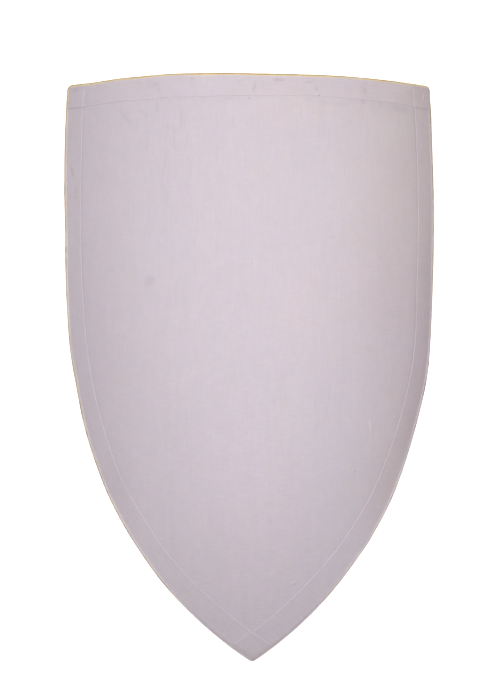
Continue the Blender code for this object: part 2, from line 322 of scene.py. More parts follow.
STATION = 3 * MM  # between sections along an arc
JOINT_SECTIONS = 10  # in a joint between two strips
BESIDE_SECTIONS = 26  # in each of the two stretches after it
LAP_START = 40 * MM  # distance from the neighbour's rim at which a leg lies fully along that rim
PLAIN_START = 110 * MM  # and beyond which it is square to its own
UNDER_END = 9.3 * MM  # distance from the upper strip's rim at which the lower strip's front leg ends
STUB = 0.5 * MM  # length past its fold of a lower strip's front leg in a joint
BACK_STUB = 1.2 * MM  # and of every back leg there
JOINT = 0.6 * MM  # from the neighbour's fold to the nearest end of an upper strip's front leg
FOLD_JOINT = math.radians(1.2)  # turn of the rim from the middle of a joint to the end of each fold
BACK_MITRE = 0.4 * MM  # left open between two back legs
SEEN_CLOTH = 3.5 * MM  # bare cloth seen from in front, round the painted face
SEEN_FROM = 0.15  # lean of that view towards the rim, in radians

# Where the saw wandered from the outline, and the shears from the strips' width: for each strip, the place
# along t (or along s on the top strip), how far it spreads, and the distance inwards, all in millimetres.
RIM_WANDER = {
    "left": ((110, 60, -0.9), (-40, 35, 1.3), (-282, 42, 1.8), (-450, 45, -1.1), (-565, 30, -0.7)),
    "right": ((95, 75, 1.2), (165, 14, 1.0), (-262, 52, -2.6), (-452, 50, -1.9), (-511, 14, -0.8)),
    "top": ((-245, 22, 0.9), (-195, 18, -0.6), (-120, 50, -1.4), (50, 55, 1.0), (10, 20, 0.5)),
}
LEG_WANDER = {
    "left": ((165, 25, -1.0), (-100, 60, -0.6), (-420, 45, -1.6), (-640, 60, 2.3)),
    "right": ((140, 60, 1.1), (-240, 75, -2.6), (-610, 75, 3.1)),
    "top": ((-270, 45, 1.9), (-125, 40, -1.0), (105, 90, -2.3)),
}


def joined(*runs):
    return Run(*(np.concatenate(parts) for parts in zip(*runs)))


def reversed_run(run):
    return Run(*(part[::-1] for part in run))


def mirrored_run(run):
    return Run(*(part * (-1, 1) for part in run))


def square_run(size, foot, inward):
    """Sections with both legs square to the rim: foot + leg * inward."""
    return Run(foot, inward, foot + size.front_leg * inward, foot + size.back_leg * inward)


def arc_run(size, centre, radius, first, last):
    """Square sections along an arc, without those at its two ends."""
    count = round(radius * abs(last - first) / STATION) + 1
    direction = unit(np.linspace(first, last, count)[1:-1])
    return square_run(size, centre + radius * direction, -direction)


def end_run(size, crossing, foot_of, fillet, over):
    """Sections from a strip's joint with its neighbour to its plain run.

    crossing(own, other) gives the point at those distances from the two rims. In the joint's fillet, given
    by its centre, radius and two angles, the sections fan out. After it they lie along the neighbour's
    rim, and then they turn until they are square.
    """
    centre, radius, angles = fillet
    direction = unit(np.linspace(*angles, JOINT_SECTIONS)[:-1])
    foot = centre + radius * direction
    under = foot - (size.fold_radius + STUB) * direction
    other = np.linspace(size.fold_radius + JOINT, UNDER_END, JOINT_SECTIONS)[:-1]
    front = crossing(size.front_leg, other) if over else under
    back = centre + (radius - size.fold_radius - BACK_STUB) * direction
    fan = Run(foot, -direction, front, back)

    beside = np.linspace(UNDER_END, LAP_START, BESIDE_SECTIONS)
    other = np.concatenate([beside, np.linspace(LAP_START, PLAIN_START, BESIDE_SECTIONS)[1:]])
    plain = square_run(size, *foot_of(crossing(size.fold_radius, other)))
    turned = smooth(PLAIN_START, LAP_START, other)
    front = lerp(plain.front, crossing(size.front_leg, other), turned)
    back = lerp(plain.back, crossing(np.minimum(size.back_leg, other - BACK_MITRE), other), turned)
    return joined(fan, Run(plain.foot, plain.inward, front, back))


def arc_foot(centre, radius):
    """A function from points to their feet on the arc and the inward directions there."""

    def foot_of(points):
        inward = centre - points
        inward = inward / size_of(inward)
        return centre - radius * inward, inward

    return foot_of


def wander(bumps, place):
    """The sum of the bumps: for each, its distance times a bell round its place."""
    return sum(MM * inward * bell(place / MM, centre, spread) for centre, spread, inward in bumps)


def leg_wander(points):
    """How far the shears wandered on the side strip nearer to each point."""
    s, t = points[..., 0], points[..., 1]
    return np.where(s < 0, wander(LEG_WANDER["left"], t), wander(LEG_WANDER["right"], t))


def hand_cut(run, side):
    """The run with its rim and its front leg's end where the saw and the shears left them.

    A stub under another strip is no wider or narrower for the shears: it moves with the rim.
    """
    place = run.foot[:, :1] if side == "top" else run.foot[:, 1:]
    rim = wander(RIM_WANDER[side], place) * run.inward
    cut = wander(LEG_WANDER[side], place) * run.inward
    past_stub = smooth(10 * MM, 30 * MM, size_of(run.front - run.foot))
    return Run(run.foot + rim, run.inward, run.front + rim + (cut - rim) * past_stub, run.back + rim)


def right_run(pattern, over_at_tip):
    """The right-hand strip, from the tip to the top corner, where it ends under the top strip."""
    size = pattern.size
    belly, side = (pattern.belly_centre, size.belly_radius), (pattern.side_centre, size.side_radius)
    tip_angles = (-QUARTER + FOLD_JOINT, pattern.tip_angle)
    tip_fillet = (pattern.tip_centre, size.tip_radius, tip_angles)
    tip = end_run(size, pattern.tip_crossing, arc_foot(*belly), tip_fillet, over_at_tip)
    corner_angles = (pattern.corner_mitre - FOLD_JOINT, pattern.corner_angle)
    corner_fillet = (pattern.corner_centre, size.corner_radius, corner_angles)
    corner = end_run(size, pattern.corner_crossing, arc_foot(*side), corner_fillet, False)
    first = angle_of(tip.foot[-1] - pattern.belly_centre)
    last = angle_of(corner.foot[-1] - pattern.side_centre)
    junction = unit(np.array([pattern.belly_angle]))
    return joined(
        tip,
        arc_run(size, *belly, first, pattern.belly_angle),
        square_run(size, pattern.side_centre + size.side_radius * junction, -junction),
        arc_run(size, *side, pattern.belly_angle, last),
        reversed_run(corner),
    )


def top_run(pattern):
    """The top strip from left to right. It lies over both side strips."""
    size = pattern.size

    def crossing(own, other):
        return pattern.corner_crossing(other, own)

    def foot_of(points):
        foot = stacked(points[:, 0], size.top_rise)
        return foot, np.broadcast_to([0.0, -1.0], foot.shape)

    fillet = (pattern.corner_centre, size.corner_radius, (pattern.corner_mitre + FOLD_JOINT, QUARTER))
    right = end_run(size, crossing, foot_of, fillet, True)
    reach = right.foot[-1, 0]
    s = np.linspace(-reach, reach, round(2 * reach / STATION) + 1)[1:-1]
    return joined(mirrored_run(right), square_run(size, *foot_of(s[:, None])), reversed_run(right))


# ---- Surfaces ----

# Shares of the pattern map: a grid's first place and width across it, and its margins up and down.
OUTER_MAP, INNER_MAP = (0.01, 0.66), (0.69, 0.22)
WALL_MAP, WALL_SPACING, WALL_WIDTH = 0.922, 0.02, 0.015
MAP_LOW, MAP_HIGH = 0.01, 0.99
SHARP_EDGE = math.radians(42)


def add_object(name, data):
    made = bpy.data.objects.new(name, data)
    bpy.context.scene.collection.objects.link(made)
    return made


def corner_indices(rows, columns):
    """For each square of a grid, its four corners as (row, column), each way round from column to row."""
    i, j = np.meshgrid(np.arange(rows - 1), np.arange(columns - 1), indexing="ij")
    i, j = i.ravel(), j.ravel()
    return stacked(i, i, i + 1, i + 1), stacked(j, j + 1, j + 1, j)


def wall(first, second):
    """Squares between two borders of equal length, given as vertex numbers or as places."""
    return np.stack([first[:-1], second[:-1], second[1:], first[1:]], axis=1)


def shell(name, node, slot, pattern, grids, material, **more):
    """A closed piece from its outer and its inner grid of flat points, joined round their borders.

    Rows and columns run so that column x row points outwards on the outer grid. Nothing goes below the
    floor. The flat points are kept as an attribute, and more attributes have a grid for each grid here.
    The pattern map gives the outer grid most of its square, the inner one the rest, and each wall a band.
    """
    rows, columns = grids[0].shape[:2]
    count = rows * columns
    i, j = corner_indices(rows, columns)
    face = i * columns + j
    vertex = np.arange(count).reshape(rows, columns)
    edge = [vertex[:, 0], vertex[-1, :], vertex[::-1, -1], vertex[0, ::-1]]
    faces = np.concatenate([face, face[:, ::-1] + count, *(wall(line + count, line) for line in edge)])

    def on_map(first, width):
        up = MAP_LOW + (MAP_HIGH - MAP_LOW) * (i / (rows - 1))
        return stacked(first + width * (j / (columns - 1)), up)

    places = [on_map(*OUTER_MAP), on_map(*INNER_MAP)[:, ::-1]]
    for k, line in enumerate(edge):
        left = stacked(WALL_MAP + WALL_SPACING * k, np.linspace(MAP_LOW, MAP_HIGH, len(line)))
        places.append(wall(left, left + (WALL_WIDTH, 0.0)))

    def listed(pair):
        return np.concatenate([grid.reshape(-1, 3) for grid in pair]).astype(np.float32)

    points = listed([pattern.placed(grid) for grid in grids])
    points[:, 2] = np.maximum(points[:, 2], 0.0)
    mesh = bpy.data.meshes.new(name)
    mesh.vertices.add(len(points))
    mesh.vertices.foreach_set("co", points.ravel())
    mesh.loops.add(faces.size)
    mesh.loops.foreach_set("vertex_index", faces.astype(np.int32).ravel())
    mesh.polygons.add(len(faces))
    mesh.polygons.foreach_set("loop_start", np.arange(0, faces.size, 4, dtype=np.int32))
    mesh.update(calc_edges=True)
    layer = mesh.uv_layers.new(name="OFBake")
    layer.uv.foreach_set("vector", np.concatenate(places).astype(np.float32).ravel())
    for key, values in {"flat": grids, **more}.items():
        mesh.attributes.new(key, "FLOAT_VECTOR", "POINT").data.foreach_set("vector", listed(values).ravel())
    mesh.validate()
    mesh.shade_smooth()
    mesh.set_sharp_from_angle(angle=SHARP_EDGE)
    mesh.materials.append(material)
    piece = add_object(name, mesh)
    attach(piece, next(iter(frame["bodies"])))
    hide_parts(node)
    return piece


def plate_ends(pattern, inset):
    """The lowest and highest t of the outline drawn in by the inset. The sharp tip is cut 2 mm short."""
    low = pattern.tip_crossing(inset, inset)[1] + 2 * MM
    return low, pattern.size.top_rise - inset


def plate_grid(pattern, inset, rows, columns):
    """Flat points (s, t) of a grid over the outline: s is the column's share of the half width at t."""
    t, share = np.broadcast_arrays(rows[:, None], columns[None, :])
    return stacked(share * pattern.half_width(t, inset), t)


# ---- Materials ----

RELIEF_STRENGTH = 0.8


class Value:
    """A socket that gives a number. Arithmetic on it adds Math nodes."""

    def __init__(self, finish, socket):
        self.finish, self.socket = finish, socket

    def math(self, operation, *others):
        return self.finish.node("ShaderNodeMath", {"operation": operation}, [self, *others])

    def __add__(self, other):
        return self.math("ADD", other)

    def __sub__(self, other):
        return self.math("SUBTRACT", other)

    def __rsub__(self, other):
        return self.finish.node("ShaderNodeMath", {"operation": "SUBTRACT"}, [other, self])

    def __mul__(self, other):
        return self.math("MULTIPLY", other)

    def __truediv__(self, other):
        return self.math("DIVIDE", other)

    def __pow__(self, other):
        return self.math("POWER", other)

    __radd__, __rmul__ = __add__, __mul__

    def step(self, low, high):
        """0 at low and 1 at high, with a smooth climb between. High may be under low."""
        if high < low:
            return 1.0 - self.step(high, low)
        settings = {"interpolation_type": "SMOOTHSTEP"}
        values = {"Value": self, "From Min": low, "From Max": high}
        return self.finish.node("ShaderNodeMapRange", settings, values)


class Finish:
    """Builds one material's nodes."""

    def __init__(self, name):
        self.material = bpy.data.materials.new(name)
        self.material.use_nodes = True
        self.tree = self.material.node_tree
        self.tree.nodes.clear()

    def find(self, sockets, key):
        """A socket by its number, its identifier or its name."""
        if isinstance(key, int):
            return sockets[key]
        return next(s for s in sockets if s.identifier == key or s.name == key)

    def node(self, kind, settings, values, output=0):
        """A node of this kind. Settings are set first, then each socket's value or link. Gives one output."""
        made = self.tree.nodes.new(kind)
        for key, setting in settings.items():
            setattr(made, key, setting)
        for key, value in values.items() if isinstance(values, dict) else enumerate(values):
            socket = self.find(made.inputs, key)
            if isinstance(value, Value):
                self.tree.links.new(value.socket, socket)
            else:
                socket.default_value = value
        return Value(self, self.find(made.outputs, output)) if made.outputs else None

    def attribute(self, name):
        return self.node("ShaderNodeAttribute", {"attribute_name": name}, {}, "Vector")

    def object_place(self):
        return self.node("ShaderNodeTexCoord", {}, {}, "Object")

    def parts(self, vector):
        """The three numbers of a vector."""
        split = self.node("ShaderNodeSeparateXYZ", {}, [vector])
        return [Value(self, socket) for socket in split.socket.node.outputs]

    def vector(self, x=0.0, y=0.0, z=0.0):
        return self.node("ShaderNodeCombineXYZ", {}, [x, y, z])

    def vector_math(self, operation, values, output=0):
        return self.node("ShaderNodeVectorMath", {"operation": operation}, values, output)

    def stretch(self, vector, scale):
        """A vector times a scale along each axis."""
        return self.vector_math("MULTIPLY", [vector, scale])

    def shifted(self, vector, offset):
        return self.vector_math("ADD", [vector, offset])

    def length(self, vector):
        return self.vector_math("LENGTH", [vector], "Value")

    def noise(self, vector, size, detail=2.0, roughness=0.5, seed=0.0):
        """Smooth noise round 0, from about -0.5 to 0.5, with the features' two sizes in millimetres."""
        scale = (1.0 / (size[0] * MM), 1.0 / (size[1] * MM), 1.0)
        moved = self.shifted(self.stretch(vector, scale), (seed, seed * 1.7, seed * 2.3))
        values = {"Vector": moved, "Scale": 1.0, "Detail": detail, "Roughness": roughness}
        return self.node("ShaderNodeTexNoise", {}, values, "Fac") - 0.5

    def mix(self, share, first, second, blend="MIX"):
        """The first colour where the share is 0 and the second where it is 1."""
        values = {"Factor_Float": share, "A_Color": first, "B_Color": second}
        return self.node("ShaderNodeMix", {"data_type": "RGBA", "blend_type": blend}, values, "Result_Color")

    def shade(self, tone, amount):
        """The colour made lighter or darker by a share, which is a number round 0."""
        return self.mix(1.0, tone, self.node("ShaderNodeCombineColor", {}, [amount + 1.0] * 3), "MULTIPLY")

    def tinted(self, share, tone, tint):
        """The colour times a plain tint where the share is 1, and as it was where it is 0."""
        return self.mix(share, tone, rgba(tint), "MULTIPLY")

    def largest(self, *values):
        found = values[0]
        for value in values[1:]:
            found = found.math("MAXIMUM", value)
        return found

    def blot(self, vector, centre, radii, core=0.35):
        """1 at the centre of an oval and 0 outside it, falling smoothly from the core's share of its size."""
        moved = self.shifted(vector, (-centre[0], -centre[1], 0.0))
        return self.length(self.stretch(moved, (1 / radii[0], 1 / radii[1], 0.0))).step(1.0, core)

    def stroke(self, vector, first, last, half_width):
        """1 along the line from first to last and 0 beyond its half width.

        The distance is from the nearest point of the line, whose share of the way is
        dot(p - first, last - first) / |last - first|^2, held between 0 and 1.
        """
        way = (last[0] - first[0], last[1] - first[1], 0.0)
        moved = self.shifted(self.stretch(vector, (1.0, 1.0, 0.0)), (-first[0], -first[1], 0.0))
        dot = self.vector_math("DOT_PRODUCT", [moved, way], "Value")
        share = (dot / (way[0] ** 2 + way[1] ** 2)).math("MAXIMUM", 0.0).math("MINIMUM", 1.0)
        nearest = self.vector_math("SCALE", {0: way, "Scale": share})
        return self.length(self.vector_math("SUBTRACT", [moved, nearest])).step(half_width, 0.1 * half_width)

    def weave(self, x, y, spacing):
        """Height of a plain weave, from 0 to 1, over two directions in metres.

        Each thread's section is 1 - (2 f - 1)^2 of the share f across it. It rises and sinks along its
        length as a cosine of two threads' length, turned by half a wave from one thread to the next, and
        the higher of the two threads shows.
        """
        across, along = x / spacing, y / spacing
        heights = []
        for own, other, phase in ((across, along, 0.0), (along, across, math.pi)):
            section = 1.0 - (own.math("FRACT") * 2.0 - 1.0) ** 2.0
            swing = ((own.math("FLOOR") + other) * math.pi + phase).math("COSINE")
            heights.append(section * (swing * 0.32 + 0.68))
        return self.largest(*heights)

    def finished(self, base, roughness, gloss, relief=None, glow=0.0):
        """The shader and the output. The relief is a height in metres."""
        values = {"Base Color": base, "Roughness": roughness, "Specular IOR Level": gloss}
        values.update({"Emission Color": rgba((1.0, 1.0, 1.0)), "Emission Strength": glow})
        if relief is not None:
            bump = {"Height": relief, "Distance": 1.0, "Strength": RELIEF_STRENGTH}
            values["Normal"] = self.node("ShaderNodeBump", {}, bump)
        shader = self.node("ShaderNodeBsdfPrincipled", {}, values)
        self.node("ShaderNodeOutputMaterial", {}, {"Surface": shader})
        return self.material


def rgba(tone):
    return (*tone, 1.0)


# Marks on the flat pattern, in millimetres, each ending with how strong it is. A spot's five numbers start
# with its centre, half its width and half its height, and a line's six with its two ends and half its width.
SMUDGES_AND_SHADES = (
    # Two round prints, and the smears of a thumb.
    (-149.3, -122.3, 12, 12, 0.23), (-215.6, -102.5, 11, 10, 0.09),
    (-196.1, 134.7, -190.4, 124.5, 4.6, 0.12), (-190.4, 124.5, -180.6, 114.8, 5.6, 0.16),
    (-167.8, 131.8, -158.3, 128.1, 3.4, 0.11), (-158.3, 128.1, -153.9, 119.7, 4.0, 0.10),
    (-153.6, 117.5, -152.4, 105.5, 2.6, 0.05),
    # Strokes left by fingers on the upper left.
    (-152.9, 105.6, -153.7, 84.9, 2.2, 0.07), (-153.2, 81.9, -153.2, 71.5, 2.6, 0.15),
    (-138.1, 141.7, -137.2, 128.3, 2.8, 0.18), (-101.2, 122.1, -101.2, 104.5, 3.6, 0.16),
    (-122.3, 109.1, -122.3, 101.7, 2.6, 0.17), (-89.2, 99.6, -95.9, 73.4, 2.4, 0.12),
    (-112.0, 102.0, -111.2, 71.0, 4.4, 0.12), (-110.2, 54.7, -109.8, 28.2, 4.0, 0.08),
    (-123.9, 62.7, -125.7, 50.9, 3.2, 0.20), (-126.0, 49.5, -129.1, 36.3, 2.4, 0.19),
    (-129.7, 33.4, -130.6, 17.2, 3.2, 0.10), (-124.1, 11.1, -123.7, -6.6, 3.4, 0.10),
    (-145.0, 54.8, -146.8, 37.1, 2.2, 0.11), (-147.1, 37.1, -151.0, 29.2, 3.2, 0.08),
    (-156.9, 31.0, 5, 4, 0.10), (-84.9, 56.8, -87.7, 32.0, 2.6, 0.13), (-99.8, 62.2, 4.5, 4, 0.12),
    (-117.8, 13.8, -119.6, 0.6, 3.2, 0.08),
    # Under the top strip, where the shield is picked up.
    (88.2, 141.4, 13, 4, 0.09), (104.8, 140.4, 141.8, 138.6, 4.6, 0.14),
    (223.4, 140.2, 239.7, 138.8, 6.5, 0.20), (239.7, 138.8, 266.0, 137.1, 6.0, 0.05),
    (169.1, 145.5, 6.5, 6, 0.22), (199.1, 142.4, 4, 9, 0.16), (-32.2, 143.0, 6.5, 3.6, 0.09),
    (-1.7, 143.6, 3.4, 2.6, 0.38), (-117.1, 142.2, 6, 3.4, 0.10),
    # The right side.
    (136.4, -31.2, 152.1, -45.5, 5.0, 0.03), (152.1, -45.5, 164.9, -64.4, 5.0, 0.07),
    (178.8, -220.1, 9, 8, 0.05), (209.3, -62.6, 209.8, -77.6, 2.2, 0.10), (119.9, -58.9, 2.4, 2.4, 0.30),
    (196.2, -85.6, 2.6, 2.2, 0.34), (101.3, -102.9, 2.0, 2.6, 0.17), (221.6, -174.9, 3, 5, 0.12),
    # Finger strokes lower down, and painted shade on the far flank of the dried run.
    (115.6, -276.2, 113.1, -301.1, 3.0, 0.12), (113.1, -301.1, 107.5, -321.6, 3.0, 0.08),
    (91.4, -286.3, 92.8, -317.0, 2.8, 0.09), (97.4, -327.3, 92.4, -350.6, 2.8, 0.11),
    (180.8, -338.9, 183.1, -353.8, 1.9, 0.15),
    # The tip: painted shade below the lump above it, and a stroke further down.
    (59.1, -567.4, 63.5, -565.8, 1.8, 0.34), (-13.1, -594.7, -11.8, -619.2, 2.6, 0.08),
)
SPECKS = (
    (1.9, -98.6, 1.5, 1.5, 0.40), (-7.1, -199.2, 1.7, 4.6, 0.15), (92.3, 125.1, 1.9, 1.8, 0.21),
    (153.2, -403.7, 1.5, 1.4, 0.50),
)
STRIP_STAINS = (
    # Brown and grey patches along the top strip.
    (-140.2, 167.9, 8.5, 5.6, 0.16), (-148.9, 168.2, 11, 10, 0.07), (-135.3, 160.3, 3.6, 4.6, 0.17),
    (-165.4, 172.3, 4.5, 4.4, 0.09), (-84.2, 173.5, 4.2, 3.4, 0.18), (-86.1, 164.9, 6, 9, 0.05),
    (-17.6, 167.1, 4.5, 6, 0.06), (-11.1, 169.2, 3.4, 4.4, 0.06), (6.2, 167.1, 4.4, 153.8, 3.2, 0.22),
    (16.3, 166.7, 9, 5, 0.09), (41.1, 170.6, 12, 3.4, 0.26), (38.1, 170.1, 4.5, 2.2, 0.36),
    (78.6, 168.0, 90.6, 169.2, 1.8, 0.26), (170.0, 160.2, 10, 10, 0.10), (171.8, 162.3, 3.6, 3.2, 0.34),
    (172.5, 172.1, 5, 5, 0.10), (260.4, 165.4, 22, 15, 0.09), (278.0, 163.0, 4, 9, 0.08),
    (-275.3, 170.6, 9, 5, 0.16),
    # The scratch.
    (95.8, 161.2, 97.0, 156.9, 1.3, 0.36), (100.3, 149.9, 1.8, 1.7, 0.75),
    # The side strips.
    (-282.5, 53.2, -279.8, 42.3, 2.4, 0.32), (-273.3, 19.0, 5.6, 12, 0.10), (-274.1, 9.9, 4.6, 5, 0.14),
    (-284.4, 106.1, 3.4, 16, 0.07),
)
CHIPS = (
    (276.6, 165.9, 274.6, 158.6, 1.4, 0.29),
)

# Where the primer is uneven: an oval's centre and radii in metres, and the tint at its centre.
UNEVEN = (
    ((0.25, -0.22), (0.13, 0.22), (0.965, 0.964, 0.998)),
    ((0.14, 0.02), (0.14, 0.16), (1.025, 1.032, 1.022)),
    ((0.02, -0.47), (0.15, 0.26), (1.045, 1.025, 1.021)),
    ((-0.27, -0.26), (0.18, 0.30), (0.954, 0.949, 0.959)),
    ((0.06, -0.32), (0.07, 0.12), (1.023, 1.025, 1.004)),
    ((-0.055, -0.41), (0.07, 0.14), (1.014, 1.010, 1.020)),
    ((0.09, -0.17), (0.08, 0.14), (1.035, 1.020, 1.005)),
    ((0.07, 0.14), (0.13, 0.06), (1.029, 1.022, 0.993)),
    ((0.21, 0.11), (0.07, 0.06), (1.029, 1.041, 1.030)),
    ((-0.13, -0.06), (0.10, 0.16), (0.983, 0.993, 0.997)),
    ((0.06, -0.42), (0.30, 0.42), (1.002, 1.014, 1.036)),
    ((0.205, -0.45), (0.05, 0.12), (0.950, 0.935, 0.935)),
    ((-0.205, -0.45), (0.05, 0.12), (0.960, 0.958, 0.955)),
    ((0.22, 0.165), (0.07, 0.03), (1.035, 1.040, 1.035)),
    ((-0.06, 0.165), (0.05, 0.03), (1.030, 1.035, 1.040)),
    ((0.15, -0.11), (0.04, 0.04), (1.035, 1.025, 1.020)),
)


def marked(finish, place, marks):
    """The strongest of the marks at each point, as a number from 0."""
    found = []
    for *mark, strength in marks:
        s, t, *rest = (part * MM for part in mark)
        if len(rest) == 2:
            shape = finish.blot(place, (s, t), rest)
        else:
            shape = finish.stroke(place, (s, t), rest, rest[2])
        found.append(shape * strength)
    return finish.largest(*found)


def smeared(finish, place, seed, reach):
    """The place moved by up to about half the reach, differently every few millimetres, for broken edges."""
    over, up = (finish.noise(place, (6, 6), 3.0, 0.65, start) * reach for start in (seed, seed + 4.0))
    return finish.shifted(place, finish.vector(over, up))


def inset_from_side(finish, pattern, s, t):
    """Distance in from the nearer side: its arc's radius less the distance from the arc's centre."""
    size = pattern.size
    arcs = ((pattern.side_centre, size.side_radius), (pattern.belly_centre, size.belly_radius))
    folded = finish.vector(s.math("ABSOLUTE"), t)
    side, belly = (
        radius - finish.length(finish.shifted(folded, (-centre[0], -centre[1], 0.0)))
        for centre, radius in arcs
    )
    upper = t.step(pattern.junction - MM, pattern.junction + MM)
    return side * upper + belly * (1.0 - upper)


def threads(finish, x, y, spacing):
    """The weave's height, with a slight wander, and the tone of its thick and thin threads both ways."""
    place = finish.vector(x, y)
    wavering = finish.noise(place, (18, 18), 1.0, seed=3.0) * (1.6 * MM)
    height = finish.weave(x + wavering, y - wavering, spacing)
    warp = finish.noise(place, (1.6, 20), 2.0, 0.6, 11.0)
    weft = finish.noise(place, (18, 1.7), 2.0, 0.6, 17.0)
    return height, warp, weft


def painted(finish, settings, pattern, flat, x, y, weave):
    """The primer's colour, roughness and relief over the weave, before any marks.

    x runs across and y along the brush strokes, in metres.
    """
    s, t, _ = finish.parts(flat)
    height, warp, weft = weave
    brush = finish.noise(finish.vector(x, y), (5, 90), 3.0, 0.55, 5.0)
    coat = finish.noise(flat, (90, 160), 3.0, 0.5, 7.0)
    mottle = finish.noise(flat, (13, 18), 4.0, 0.75, 19.0)
    grain = finish.noise(flat, (2.4, 2.4), 2.0, 0.7, 23.0)
    # The crossing threads show more where the coat is thin, which is low down.
    low = t.step(-0.10, -0.35)
    tone = warp * (0.106 - low * 0.020) + weft * (low * 0.045 + t.step(-0.50, -0.62) * 0.05 + 0.104)
    tone = tone + brush * 0.050 + coat * 0.040 + mottle * 0.085 + grain * 0.055
    # The coat is a little thinner and greyer up the middle than beside it.
    beside = s.math("ABSOLUTE").step(0.04, 0.19)
    base = finish.shade(rgba(settings.paint), tone + beside * 0.038 - 0.022)
    # Down the right-hand side the primer is greyer and dirtier, most of all about half way, and yellower.
    inset = inset_from_side(finish, pattern, s, t)
    half_way = t.step(0.06, -0.12) * 0.60 + 0.40
    greyed = inset.step(52 * MM, 4 * MM) * s.step(0.10, 0.16) * t.step(-0.46, -0.33) * half_way
    base = finish.tinted(greyed, base, (0.865, 0.845, 0.850))
    base = finish.tinted(s.step(0.10, 0.25), base, (1.002, 0.980, 0.938))
    for centre, radii, tint in UNEVEN:
        base = finish.tinted(finish.blot(flat, centre, radii, core=0.0), base, tint)
    # Warm and cool flecks a few millimetres across.
    warmth = finish.noise(flat, (20, 24), 3.0, 0.8, 29.0)
    coolness = finish.noise(flat, (22, 26), 3.0, 0.8, 37.0)
    fleck = finish.node("ShaderNodeCombineColor", {}, [warmth * 0.085 + 1.0, 1.0, coolness * 0.13 + 1.0])
    base = finish.mix(1.0, base, fleck, "MULTIPLY")
    roughness = 0.80 - brush * 0.10 - height * 0.03
    relief = (height + warp + weft + mottle) * (0.10 * MM) + brush * (0.12 * MM)
    return base, roughness, relief


def canvas_finish(settings, pattern):
    """Primer on the canvas, with the handling marks that it has picked up, and painted shade and highlights
    at its steps and ridges.
    """
    finish = Finish("primed_canvas")
    flat = finish.attribute("flat")
    s, t, _ = finish.parts(flat)
    smudge_and_shade = rgba(settings.smudge_and_shade)
    weave = threads(finish, s, t, settings.thread)
    base, roughness, relief = painted(finish, settings, pattern, flat, s, t, weave)

    # Slanted strokes of a dirty cloth over the upper left.
    moved = smeared(finish, flat, 41.0, 5 * MM)
    slanted = finish.noise(finish.vector(s - t * 0.17, t), (4, 60), 2.0, 0.6, 43.0)
    rubbed = finish.blot(moved, (-0.113, 0.075), (0.085, 0.095), 0.2) * slanted.step(0.0, 0.28)
    patchy = finish.noise(flat, (3, 4), 3.0, 0.7, 45.0) * 1.3 + 0.85
    base = finish.mix(finish.largest(marked(finish, moved, SMUDGES_AND_SHADES), rubbed * 0.11) * patchy, base, smudge_and_shade)
    base = finish.mix(marked(finish, flat, SPECKS), base, rgba(settings.stain))

    # Painted shade in the step under each strip's inner edge, stronger high up and weaker low down, with a
    # wider soft painted shade below the top strip except towards its left end.
    from_side, from_top, _ = finish.parts(finish.attribute("step"))
    side_shade_strength = t.step(0.04, 0.12) * 0.10 - t.step(-0.14, -0.26) * 0.15 + 0.22
    under_side = from_side.step(3.2 * MM, 0.2 * MM) * side_shade_strength
    under_top = from_top.step(1.9 * MM, -1.2 * MM) * (s.step(-0.05, -0.14) * 0.12 + 0.50)
    soft_shade_under_top = from_top.step(10 * MM, 1 * MM) * (s.step(-0.20, -0.14) * 0.08)
    crevice_shade = finish.largest(under_side, under_top, soft_shade_under_top) * (patchy * 0.5 + 0.5)
    base = finish.mix(crevice_shade, base, smudge_and_shade)

    # Painted highlights on the run of primer that dried as a ridge, and on the lump above the tip.
    ridge = finish.stroke(flat, (0.1773, -0.3300), (0.1792, -0.3433), 1.7 * MM)
    lump = finish.stroke(flat, (0.0562, -0.5641), (0.0632, -0.5611), 1.6 * MM)
    base = finish.shade(base, finish.largest(ridge * 0.12, lump * 0.10))
    return finish.finished(base, roughness, 0.35, relief)


def bare_cloth(finish, settings, flat, lay, edge):
    """Unpainted cloth: cream beside the paint, then golden, then dark in patches round the outside, partly
    soiling and partly painted shade where the fold turns away from the light.
    """
    s, t, _ = finish.parts(flat)
    golden = finish.noise(lay, (45, 5), 3.0, 0.6, 61.0).step(-0.14, 0.10)
    soiled_and_shaded = finish.noise(lay, (30, 5), 3.0, 0.65, 67.0).step(-0.06, 0.14)
    at_corner = s.step(0.292, 0.297)
    round_corner = finish.largest(t.step(0.170, 0.120), at_corner)
    faded = round_corner * (t.step(0.02, -0.40) * 0.45 + s.step(0.10, 0.20) * 0.25 + 0.50)
    cloth, gold, soil_and_shade = (
        finish.mix(faded * share, rgba(tone), rgba(settings.cloth_faded))
        for share, tone in ((1.0, settings.cloth), (0.65, settings.cloth_gold), (0.25, settings.cloth_soil_and_shade))
    )
    cloth = finish.mix(edge.step(0.8 * MM, 2.0 * MM) * golden, cloth, gold)
    # Painted shade together with soiling: the dark patches round the outer turn of the fold.
    cloth = finish.mix(edge.step(1.8 * MM, 3.6 * MM) * soiled_and_shaded, cloth, soil_and_shade)
    # Below the top strip the cloth is bluer; down the right-hand side it is darker with painted shade, less
    # so low down, and the turn of the left belly is darker too.
    below = finish.largest(t.step(0.170, 0.140), at_corner)
    cloth = finish.tinted(below, cloth, (1.00, 1.01, 1.13))
    right_rim_shade = below * s.step(0.0, 0.1) * (1.0 - t.step(-0.36, -0.46) * 0.85)
    cloth = finish.tinted(right_rim_shade, cloth, (0.80, 0.82, 0.85))
    belly_turn = t.step(-0.14, -0.22) * t.step(-0.46, -0.38) * s.step(0.1, 0.0)
    cloth = finish.tinted(belly_turn, cloth, (0.87, 0.85, 0.79))
    behind = edge.step(20 * MM, 26 * MM)
    return finish.mix(behind * 0.85, cloth, rgba(tuple(0.9 * c for c in settings.cloth)))


